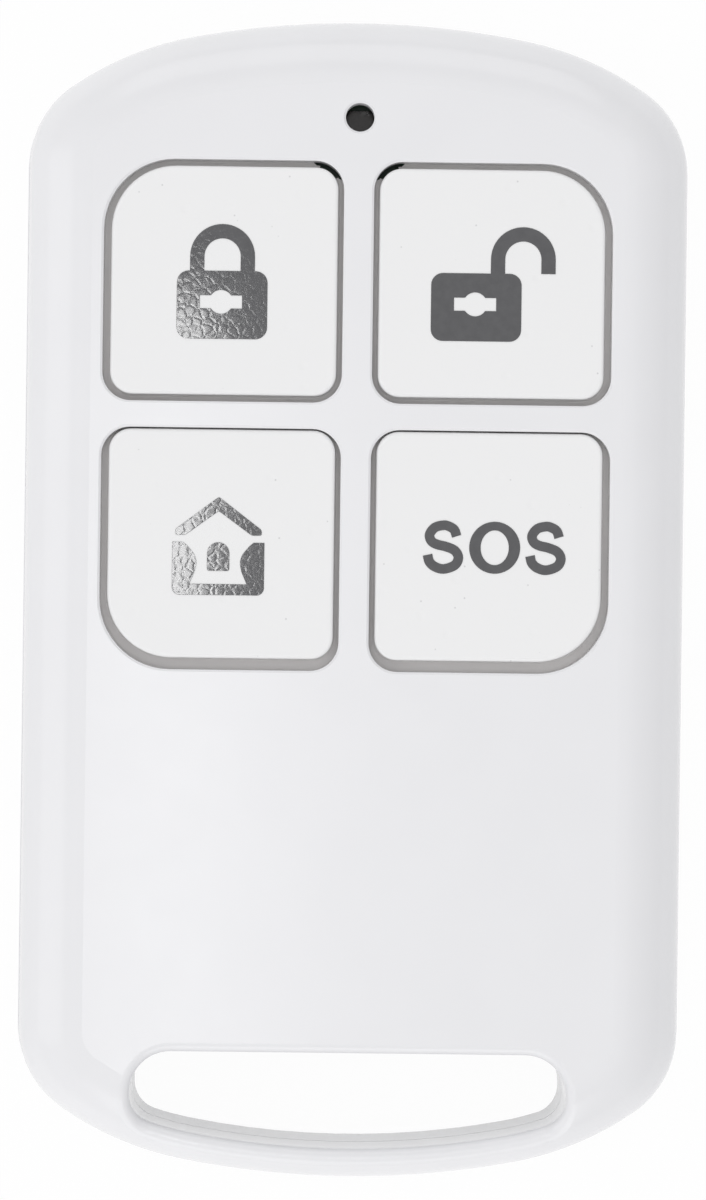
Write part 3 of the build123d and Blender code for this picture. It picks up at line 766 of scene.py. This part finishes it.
def screw_places():
    """Where each screw's head stands, from the node that holds all four."""
    low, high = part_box("cover_screws")
    center = (low + high) / 2
    points = [vertex.co for vertex in frame["nodes"]["cover_screws"].data.vertices]
    places = []
    for right in (False, True):
        for upper in (False, True):
            group = [p for p in points if (p.x > center.x) == right and (p.y > center.y) == upper]
            x = (min(p.x for p in group) + max(p.x for p in group)) / 2
            y = (min(p.y for p in group) + max(p.y for p in group)) / 2
            places.append(Vector((x, y, low.z)))
    return places


def cover_screws(material):
    """The four cover screws with cross recesses and threads."""
    mesh = screw_mesh()
    mesh.materials.clear()
    mesh.materials.append(material)
    for index, place in enumerate(screw_places()):
        screw = link(bpy.data.objects.new(f"cover_screw_{index + 1}", mesh.copy()))
        screw.location = place
        screw.rotation_euler.z = radians(screw_turns[index])
        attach(screw, "housing")
        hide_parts("cover_screws")


def dome_rings(radius, rise):
    """A snap dome's rings: from the middle of its underside to its rim, and back up over its top."""
    outer = (radius ** 2 + rise ** 2) / (2 * rise)
    inner = outer - dome_thickness
    sink = outer - rise
    shares = [(row + 0.5) / (dome_rows + 0.5) for row in range(dome_rows + 1)]
    rings = []
    for sphere, order in ((inner, shares), (outer, shares[::-1])):
        reach = acos(sink / sphere)
        for share in order:
            across = sphere * sin(share * reach)
            rings.append(ring(sphere * cos(share * reach) - sink, lambda turn, r=across: r))
    return rings


def snap_dome(key, material):
    """A switch's snap dome, in place of the switch's dome node."""
    low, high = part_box(f"switch_dome_{key}")
    dome = mesh_object(f"snap_dome_{key}", dome_rings((high.x - low.x) / 2, high.z - low.z))
    foot = ((low.x + high.x) / 2, (low.y + high.y) / 2, low.z)
    dome.location = foot
    dome.data.materials.append(material)
    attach(dome, "housing")
    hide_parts(f"switch_dome_{key}")
    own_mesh(dome)


def key_wall(key):
    """A key's wall in plan, as points in order with the way out at each."""
    web_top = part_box("keypad_web")[1].z
    points = [v.co.to_2d() for v in frame["nodes"][f"key_{key}"].data.vertices if v.co.z > web_top]
    hull = [points[index] for index in convex_hull_2d(points)]
    spaced = zip(hull[-1:] + hull[:-1], hull)
    hull = [point for before, point in spaced if (point - before).length > least_step]
    wall = []
    for before, point, after in zip(hull[-1:] + hull[:-1], hull, hull[1:] + hull[:1]):
        along = (point - before).normalized() + (after - point).normalized()
        wall.append((point, Vector((along.y, -along.x)).normalized()))
    return wall


def key_skirt(key, material):
    """The thin skirt that joins a key to the web. It stops at the lamp's notch."""
    web_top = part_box("keypad_web")[1].z
    low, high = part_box("lamp_base")
    lamp = ((low + high) / 2).to_2d()
    wall = key_wall(key)
    kept = [(point - lamp).length > lamp_notch_radius for point, out in wall]
    if not all(kept):
        first = next(index for index in range(len(wall)) if kept[index] and not kept[index - 1])
        wall = (wall[first:] + wall[:first])[:sum(kept)]
    rings = []
    for point, out in wall:
        row = []
        for reach, rise in skirt_section:
            row.append((point + out * reach).to_3d() + Vector((0, 0, web_top + rise)))
        rings.append(row)
    skirt = mesh_object(f"key_skirt_{key}", rings, all(kept))
    skirt.data.materials.append(material)
    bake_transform(skirt)


def floor():
    """A pale floor that shows the camera a nearly white face and still takes the fob's shadow."""
    material, tree, shader = new_material("floor")
    cloud = remap(tree, noise(tree, floor_cloud_size), wide_range)
    tree.links.new(blend_colors(tree, cloud, floor_colors), shader.inputs["Base Color"])
    shader.inputs["Roughness"].default_value = floor_roughness
    shader.inputs["Specular IOR Level"].default_value = 0.0
    glow = add_node(tree, "ShaderNodeEmission", {"Color": white, "Strength": 1.0})
    path = add_node(tree, "ShaderNodeLightPath")
    seen = path.outputs["Is Camera Ray"]
    for kind in ("Is Glossy Ray", "Is Transmission Ray"):
        either = add_node(tree, "ShaderNodeMath", operation="MAXIMUM")
        tree.links.new(seen, either.inputs[0])
        tree.links.new(path.outputs[kind], either.inputs[1])
        seen = either.outputs[0]
    share = add_node(tree, "ShaderNodeMath", {1: floor_white_share}, operation="MULTIPLY")
    tree.links.new(seen, share.inputs[0])
    mix = add_node(tree, "ShaderNodeMixShader")
    tree.links.new(share.outputs[0], mix.inputs["Fac"])
    tree.links.new(shader.outputs[0], mix.inputs[1])
    tree.links.new(glow.outputs[0], mix.inputs[2])
    tree.links.new(mix.outputs[0], tree.nodes["Material Output"].inputs["Surface"])
    mesh = bpy.data.meshes.new("floor")
    sheet = bmesh.new()
    bmesh.ops.create_grid(sheet, x_segments=4, y_segments=4, size=floor_reach)
    sheet.to_mesh(mesh)
    sheet.free()
    plane = link(bpy.data.objects.new("floor", mesh))
    plane.location.z = -floor_drop
    plane.data.materials.append(material)


def world():
    """Even light from all round, with a white face for the camera."""
    scene_world = bpy.data.worlds.new("studio")
    bpy.context.scene.world = scene_world
    scene_world.use_nodes = True
    tree = scene_world.node_tree
    ambient = tree.nodes["Background"]
    ambient.inputs["Color"].default_value = ambient_color
    ambient.inputs["Strength"].default_value = ambient_strength
    backdrop = add_node(tree, "ShaderNodeBackground", {"Color": white, "Strength": 1.0})
    path = add_node(tree, "ShaderNodeLightPath")
    mix = add_node(tree, "ShaderNodeMixShader")
    tree.links.new(path.outputs["Is Camera Ray"], mix.inputs["Fac"])
    tree.links.new(ambient.outputs[0], mix.inputs[1])
    tree.links.new(backdrop.outputs[0], mix.inputs[2])
    tree.links.new(mix.outputs[0], tree.nodes["World Output"].inputs["Surface"])


def area_lamp(name, place, aim, width, height, radiance):
    """A flat area lamp of a given radiance, aimed at a point."""
    data = bpy.data.lights.new(name, "AREA")
    data.shape = "RECTANGLE"
    data.size = width
    data.size_y = height
    data.energy = radiance * pi * width * height
    lamp = link(bpy.data.objects.new(name, data))
    lamp.location = place
    lamp.rotation_euler = (Vector(aim) - Vector(place)).to_track_quat("-Z", "Y").to_euler()


def camera():
    """The camera: straight above, with the photograph's distance, framing and slight turn."""
    data = bpy.data.cameras.new("camera")
    data.sensor_fit = "VERTICAL"
    data.sensor_height = sensor_height_mm
    data.lens = sensor_height_mm * (camera_height - frame_level) / frame_height
    data.clip_start = nearest_seen
    data.clip_end = farthest_seen
    view = link(bpy.data.objects.new("camera", data))
    middle_offset = (image_height_px / 2 - fob_middle_y_px) * frame_height / image_height_px
    view.location = (camera_side, -middle_offset, camera_height)
    view.rotation_euler = (0, atan2(camera_side, camera_height - frame_level), radians(camera_roll))
    bpy.context.scene.camera = view


def main():
    camera()
    world()
    for name, look in area_lamps.items():
        area_lamp(name, *look)
    floor()
    materials = slot_materials()
    dress_nodes(materials)
    cover_screws(materials["screw_steel"])
    legends = {
        "arm": closed_lock(),
        "disarm": open_lock(),
        "home": house(),
        "sos": distress_letters(),
    }
    for key in legends:
        snap_dome(key, materials["spring_steel"])
    for key in legends:
        key_skirt(key, materials["key_silicone"])
    for key, outlines in legends.items():
        legend(f"legend_{key}", outlines, key, materials["legend_ink"])


bpy.context.scene.view_settings.view_transform = "Standard"
main()
